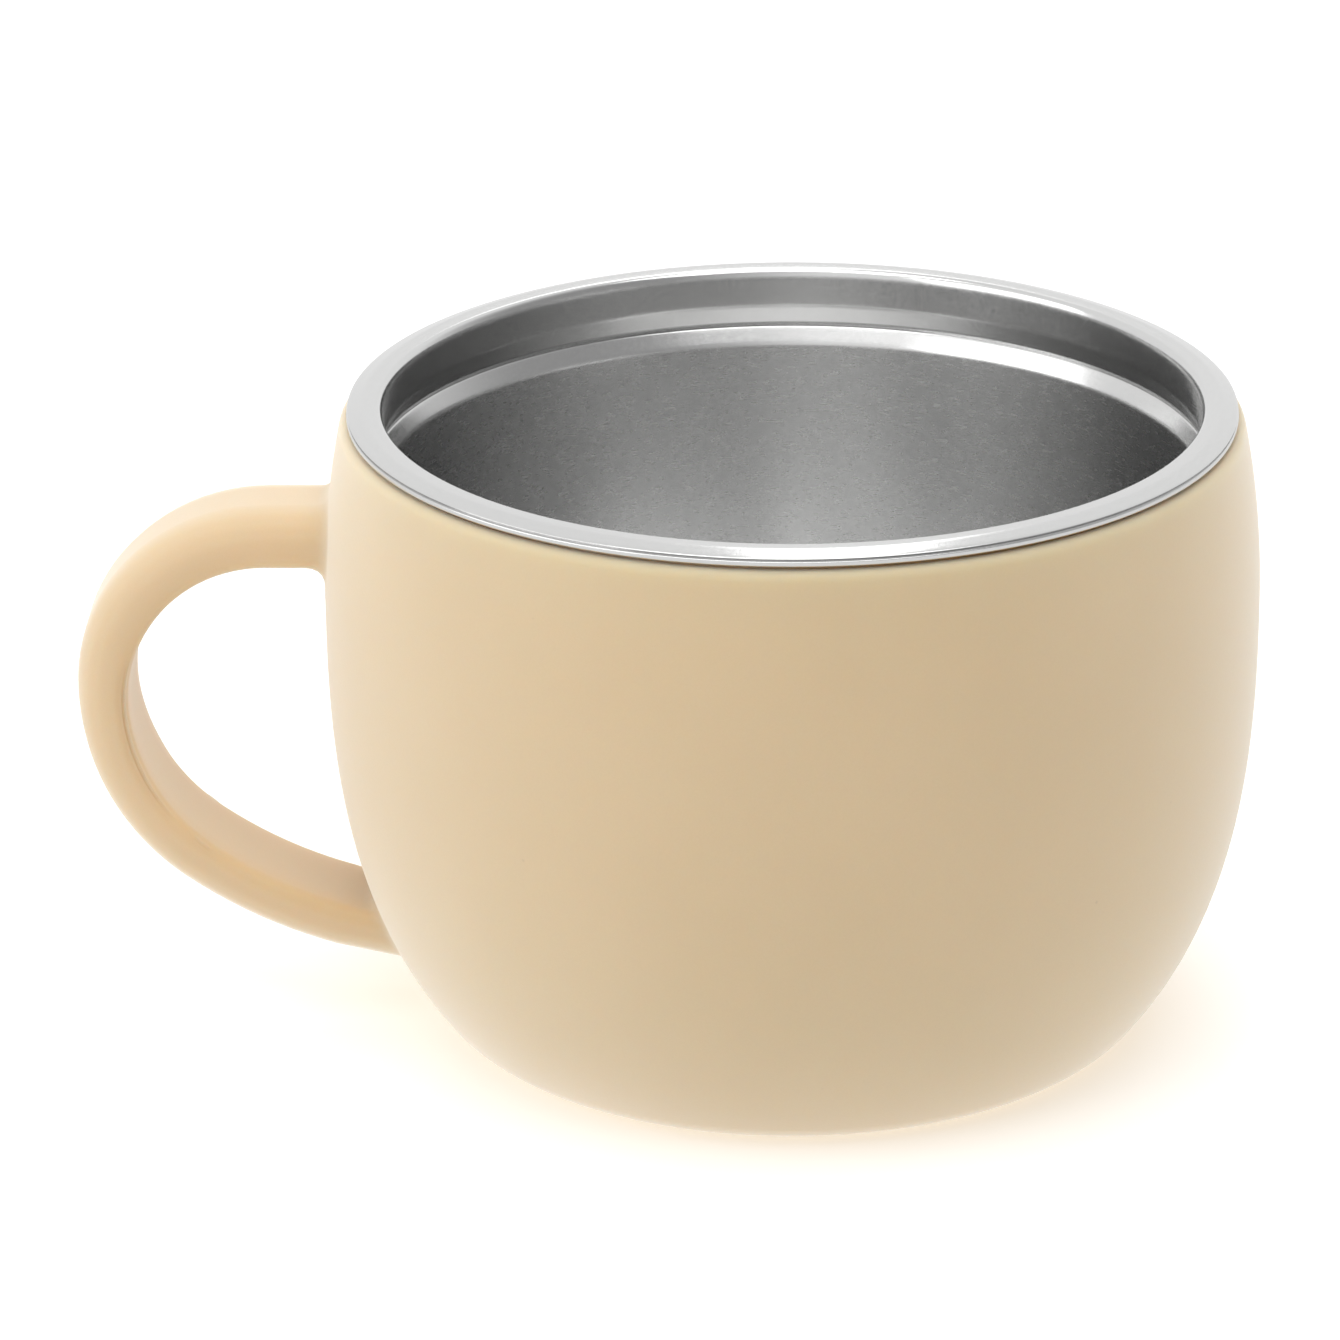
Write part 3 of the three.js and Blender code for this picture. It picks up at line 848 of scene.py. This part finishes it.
def lip_outline():
    """The lip's outside from its bead up to the flange, with the rolled sheet's seam between them."""
    top = flange_top(LIP_RADIUS)
    seam = top - SEAM_DROP
    seam_radius = LIP_RADIUS - SEAM_DEPTH
    upper_radius = LIP_RADIUS - SEAM_EDGE / 2
    shoulder = LIP_RADIUS - LIP_ROUND
    bead_top = seam - SEAM_HALF
    outline = [(LIP_RADIUS, bead_top - SEAM_EDGE)]
    outline += rounding(outline[-1], (LIP_RADIUS, bead_top), (LIP_RADIUS - SEAM_EDGE, bead_top), 5)
    outline.append((seam_radius, seam - SEAM_HALF / 2))
    outline.append((seam_radius, seam + SEAM_HALF / 2))
    outline.append((upper_radius, seam + SEAM_HALF))
    outline += rounding(outline[-1], (upper_radius, top), (shoulder, flange_top(shoulder)), 8)
    return outline


def crown_outline(top):
    """The rim's inner half: it sinks a little from the land, then turns down into the neck."""
    middle = (neck_radius + CROWN_REACH, RIM_HEIGHT - CROWN_DIP)
    lead = ((top[0] + middle[0]) / 2, RIM_HEIGHT)
    outline = rounding(top, lead, middle, 6)
    steepness = CROWN_DIP / (lead[0] - middle[0])
    turn = (neck_radius, middle[1] - steepness * CROWN_REACH)
    return outline + rounding(middle, turn, (neck_radius, RIM_HEIGHT - CROWN_FALL), 12)


def groove_outline(neck_start, wall_foot):
    """The neck and the lid groove below it: a soft bend, a fine notch at its bottom, another bend."""
    top_edge = (neck_radius, groove_top)
    deepest = (groove_radius, groove_height)
    foot_edge = (neck_radius, groove_foot)
    outline = line(neck_start, along(top_edge, neck_start, GROOVE_BEND), 4)
    outline += rounding(outline[-1], top_edge, along(top_edge, deepest, GROOVE_BEND), 6)
    outline += line(outline[-1], along(deepest, top_edge, NOTCH_HALF), 4)
    outline.append((groove_radius + NOTCH_DEPTH, groove_height))
    notch_edge = along(deepest, foot_edge, NOTCH_HALF)
    outline += rounding(outline[-1], notch_edge, along(deepest, foot_edge, NOTCH_EDGE), 5)
    outline += line(outline[-1], along(foot_edge, deepest, GROOVE_BEND), 4)
    outline += rounding(outline[-1], foot_edge, along(foot_edge, wall_foot, GROOVE_BEND), 6)
    return outline


def outer_shell(material):
    corner = (shell_corner_radius, shell_corner_top)
    hole = shell_corner_radius - SHELL_RING
    inside = SHELL_RADIUS - SHEET
    bottom = shell_low.z
    top = shell_high.z
    outline = [(hole, bottom + SHEET_EDGE)]
    outline += rounding(outline[-1], (hole, bottom), (hole + SHEET_EDGE, bottom), 3)
    outline += line(outline[-1], (shell_corner_radius, bottom), 3)
    outline += ellipse(corner, SHELL_CORNER_WIDTH, SHELL_CORNER_HEIGHT, -90, 0, 20)
    outline += line(outline[-1], (SHELL_RADIUS, top - SHEET_EDGE), 8)
    outline += rounding(outline[-1], (SHELL_RADIUS, top), (SHELL_RADIUS - SHEET_EDGE, top), 3)
    outline.append((inside + SHEET_EDGE, top))
    outline += rounding(outline[-1], (inside, top), (inside, top - SHEET_EDGE), 3)
    outline += line(outline[-1], (corner[0] + SHELL_CORNER_WIDTH - SHEET, corner[1]), 8)
    outline += ellipse(corner, SHELL_CORNER_WIDTH - SHEET, SHELL_CORNER_HEIGHT - SHEET, 0, -90, 20)
    outline.append((hole + SHEET_EDGE, bottom + SHEET))
    outline += rounding(outline[-1], (hole, bottom + SHEET), (hole, bottom + SHEET - SHEET_EDGE), 3)
    outline.append(outline[0])
    return turned_piece("shell", outline, material, ring=True)


def shell_base(material):
    edge = disc_high.y
    bottom = disc_low.z
    upper = bottom + SHEET
    roof = bottom + DIMPLE_DEPTH
    upper_roof = roof + SHEET
    foot = DIMPLE_RADIUS + DIMPLE_SLOPE
    upper_foot = foot + SHEET
    upper_dimple = DIMPLE_RADIUS + SHEET
    outline = [(PORT_RADIUS, roof + SHEET_EDGE)]
    outline += rounding(outline[-1], (PORT_RADIUS, roof), (PORT_RADIUS + SHEET_EDGE, roof), 3)
    outline.append((DIMPLE_RADIUS - DIMPLE_TURN, roof))
    slope_top = (DIMPLE_RADIUS + DIMPLE_SLANT, roof - DIMPLE_SLANT)
    outline += rounding(outline[-1], (DIMPLE_RADIUS, roof), slope_top, 4)
    outline.append((foot - DIMPLE_SLANT, bottom + DIMPLE_SLANT))
    outline += rounding(outline[-1], (foot, bottom), (foot + DIMPLE_TURN, bottom), 4)
    outline += line(outline[-1], (edge - SHEET_EDGE, bottom), 4)
    outline += rounding(outline[-1], (edge, bottom), (edge, bottom + SHEET_EDGE), 3)
    outline.append((edge, upper - SHEET_EDGE))
    outline += rounding(outline[-1], (edge, upper), (edge - SHEET_EDGE, upper), 3)
    outline += line(outline[-1], (upper_foot + DIMPLE_TURN, upper), 4)
    slope_foot = (upper_foot - DIMPLE_SLANT, upper + DIMPLE_SLANT)
    outline += rounding(outline[-1], (upper_foot, upper), slope_foot, 4)
    outline.append((upper_dimple + DIMPLE_SLANT, upper_roof - DIMPLE_SLANT))
    roof_start = (upper_dimple - DIMPLE_TURN, upper_roof)
    outline += rounding(outline[-1], (upper_dimple, upper_roof), roof_start, 4)
    outline.append((PORT_RADIUS + SHEET_EDGE, upper_roof))
    port_edge = (PORT_RADIUS, upper_roof - SHEET_EDGE)
    outline += rounding(outline[-1], (PORT_RADIUS, upper_roof), port_edge, 3)
    outline.append(outline[0])
    return turned_piece("base_disc", outline, material, ring=True)


def vacuum_seal(material):
    """A bead with a nearly flat face below, and a stub that stands in the port above."""
    radius = seal_high.y
    face = seal_low.z
    roof = disc_low.z + DIMPLE_DEPTH - SEAL_GAP
    stub = PORT_RADIUS - SEAL_CLEARANCE
    tip = seal_high.z
    outline = [(0.0, face)]
    outline += line(outline[-1], (radius * SEAL_FACE, face + SEAL_FACE_RISE), 3)
    outline += rounding(outline[-1], (radius, face + SEAL_SIDE_RISE), (radius, roof - SEAL_EDGE), 8)
    outline += rounding(outline[-1], (radius, roof), (radius - SEAL_EDGE, roof), 2)
    outline += line(outline[-1], (stub + SEAL_EDGE, roof), 3)
    outline += rounding(outline[-1], (stub, roof), (stub, roof + SEAL_EDGE), 2)
    outline.append((stub, tip - SEAL_TIP_RISE))
    outline += rounding(outline[-1], (stub, tip), (stub - SEAL_TIP_ROUND, tip), 4)
    outline.append((0.0, tip))
    return turned_piece("glass_bead", outline, material, columns=SMALL_TURN_COLUMNS)


def getter(material):
    radius = (getter_high.y - getter_low.y) / 2
    centre = ((getter_low.x + getter_high.x) / 2, (getter_low.y + getter_high.y) / 2)
    low, high = getter_low.z, getter_high.z
    outline = [(0.0, low)]
    outline += line(outline[-1], (radius - GETTER_ROUND, low), 3)
    outline += rounding(outline[-1], (radius, low), (radius, low + GETTER_ROUND), 5)
    outline.append((radius, high - GETTER_EDGE))
    outline += rounding(outline[-1], (radius, high), (radius - GETTER_EDGE, high), 2)
    outline.append((0.0, high))
    return turned_piece("getter_pill", outline, material, columns=SMALL_TURN_COLUMNS, centre=centre)


# The studio's camera, fitted to the photo: the cup's axis stands at AXIS_COLUMN of its pixels
CAMERA_PLACE = Vector((0.0, -0.5568, 0.2579))
CAMERA_TARGET = Vector((0.0, 0.0, 0.0344))
CAMERA_LENS = 166.1
CAMERA_SENSOR = 36.0
PHOTO_SIDE = 1340
AXIS_COLUMN = 792.5
CLIP_NEAR = 0.01
CLIP_FAR = 50

# Light of the world on the object, from above and from below, and its dimming towards the front
AMBIENT = 0.66
FLOOR_BOUNCE = 1.45
BOUNCE_EDGE = (-0.15, 0.5)
FRONT_SIDE = Vector((0.0, -1.0, 0.1)).normalized()
FRONT_DIMMING = 0.28
FRONT_EDGE = (0.0, 0.9)

# What mirrors show: a dim room on the right and a ceiling that is a little darker
ROOM_SIDE = Vector((0.85, -0.45, 0.25)).normalized()
ROOM_DARKNESS = 0.63
ROOM_EDGE = (0.4, 0.9)
CEILING_TONE = 0.9
CEILING_EDGE = (0.75, 0.95)

FLOOR_SIDE = 6.0
FLOOR_DROP = 0.02 * MM
FLOOR_TONE = 0.94
FLOOR_LIFT = 0.16
WHITE = (1, 1, 1, 1)

# Lamps as name, place, target, width, height, how bright the face looks, and whether mirrors show it.
# Mirrors leave out the back box, because there it would add to the white world and bleach the rim.
CUP_MIDDLE = (0.0, 0.0, 0.035)
LAMPS = (
    ("key_box", (-0.80, -0.36, 0.38), CUP_MIDDLE, 0.9, 0.6, 1.7, True),
    ("top_box", (0.0, -0.30, 0.80), (0.0, -0.30, 0.0), 0.8, 0.62, 2.1, True),
    ("strip_box", (0.04, 0.62, 0.80), (0.04, 0.62, 0.0), 0.16, 1.3, 1.4, True),
    ("back_box", (0.0, 0.86, 0.80), (0.0, 0.86, 0.0), 1.2, 0.92, 1.15, False),
)


def aim(thing, place, target):
    thing.location = place
    thing.rotation_mode = "QUATERNION"
    thing.rotation_quaternion = (Vector(target) - Vector(place)).to_track_quat("-Z", "Y")


def add_camera():
    data = bpy.data.cameras.new("camera")
    data.lens = CAMERA_LENS
    data.sensor_width = CAMERA_SENSOR
    data.shift_x = -(AXIS_COLUMN - PHOTO_SIDE / 2) / PHOTO_SIDE
    data.clip_start = CLIP_NEAR
    data.clip_end = CLIP_FAR
    camera = bpy.data.objects.new("camera", data)
    bpy.context.scene.collection.objects.link(camera)
    aim(camera, CAMERA_PLACE, CAMERA_TARGET)
    bpy.context.scene.camera = camera


def softbox(name, place, target, width, height, radiance, in_mirrors):
    """A soft rectangular lamp. Its power follows from its size and how bright its face looks."""
    data = bpy.data.lights.new(name, "AREA")
    data.shape = "RECTANGLE"
    data.size = width
    data.size_y = height
    data.energy = radiance * math.pi * width * height
    lamp = bpy.data.objects.new(name, data)
    bpy.context.scene.collection.objects.link(lamp)
    aim(lamp, place, target)
    lamp.visible_camera = False
    lamp.visible_glossy = in_mirrors


def add_world():
    """White where it is seen, and in mirrors too, apart from the dim room on the right and the ceiling.
    Its light on the object is strongest from the sides and from below, and weaker from the front."""
    world = bpy.data.worlds.new("studio")
    bpy.context.scene.world = world
    world.use_nodes = True
    wires = Wiring(world.node_tree)
    background = world.node_tree.nodes["Background"]
    path = wires.add("ShaderNodeLightPath", {})
    direction = wires.add("ShaderNodeTexCoord", {}).outputs["Generated"]
    height = wires.add("ShaderNodeSeparateXYZ", {"Vector": direction}).outputs["Z"]
    mirrored = wires.mirrored(path)
    not_mirrored = wires.math("SUBTRACT", 1.0, mirrored)

    room = wires.spread(wires.facing(direction, ROOM_SIDE), 1.0, 1.0 - ROOM_DARKNESS, *ROOM_EDGE)
    ceiling = wires.spread(height, 1.0, CEILING_TONE, *CEILING_EDGE)
    in_mirrors = wires.math("MULTIPLY", mirrored, wires.math("MULTIPLY", room, ceiling))

    dimming = wires.spread(wires.facing(direction, FRONT_SIDE), 1.0, 1.0 - FRONT_DIMMING, *FRONT_EDGE)
    bounce = wires.spread(height, FLOOR_BOUNCE, AMBIENT, *BOUNCE_EDGE)
    on_object = wires.math("MULTIPLY", bounce, dimming)
    light = wires.math("ADD", in_mirrors, wires.math("MULTIPLY", on_object, not_mirrored))
    strength = wires.math("MAXIMUM", path.outputs["Is Camera Ray"], light)
    wires.fill(background, {"Color": WHITE, "Strength": strength})


def add_floor():
    """A pale floor that keeps the cup's soft shadow. It is plain white in mirrors."""
    low, high = -FLOOR_SIDE, FLOOR_SIDE
    corners = [(x, y, -FLOOR_DROP) for x, y in ((low, low), (high, low), (high, high), (low, high))]
    material = bpy.data.materials.new("floor")
    material.use_nodes = True
    tree = material.node_tree
    tree.nodes.clear()
    wires = Wiring(tree)
    mirrored = wires.mirrored(wires.add("ShaderNodeLightPath", {}))
    paint = wires.add("ShaderNodeBsdfDiffuse", {"Color": (FLOOR_TONE, FLOOR_TONE, FLOOR_TONE, 1)})
    white = wires.add("ShaderNodeEmission", {"Color": WHITE, "Strength": 1.0})
    glow = wires.add("ShaderNodeEmission", {"Color": WHITE, "Strength": FLOOR_LIFT})
    lifted = wires.add("ShaderNodeAddShader", {0: paint.outputs[0], 1: glow.outputs[0]})
    both = wires.add("ShaderNodeMixShader", {0: mirrored, 1: lifted.outputs[0], 2: white.outputs[0]})
    wires.add("ShaderNodeOutputMaterial", {"Surface": both.outputs[0]})
    floor = add_piece("floor", corners, [(0, 1, 2, 3)], material)
    floor.visible_diffuse = False


def add_studio():
    bpy.context.scene.view_settings.view_transform = "Standard"
    add_camera()
    add_world()
    add_floor()
    for lamp in LAMPS:
        softbox(*lamp)


def add_cup():
    steel = liner_steel()
    plain_steel = shell_steel()
    pieces = (
        (silicone_sleeve(silicone()), "silicone_sleeve", "sleeve", "beige_silicone"),
        (inner_liner(steel), "inner_liner", "steel_cup", "liner_steel"),
        (outer_shell(plain_steel), "outer_shell", "steel_cup", "shell_steel"),
        (shell_base(plain_steel), "shell_base", "steel_cup", "shell_steel"),
        (vacuum_seal(seal_glass()), "vacuum_seal", "steel_cup", "seal_glass"),
        (getter(getter_alloy()), "getter", "steel_cup", "getter_alloy"),
    )
    for piece, node, body, slot in pieces:
        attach(piece, body)
        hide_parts(node)


add_cup()
add_studio()
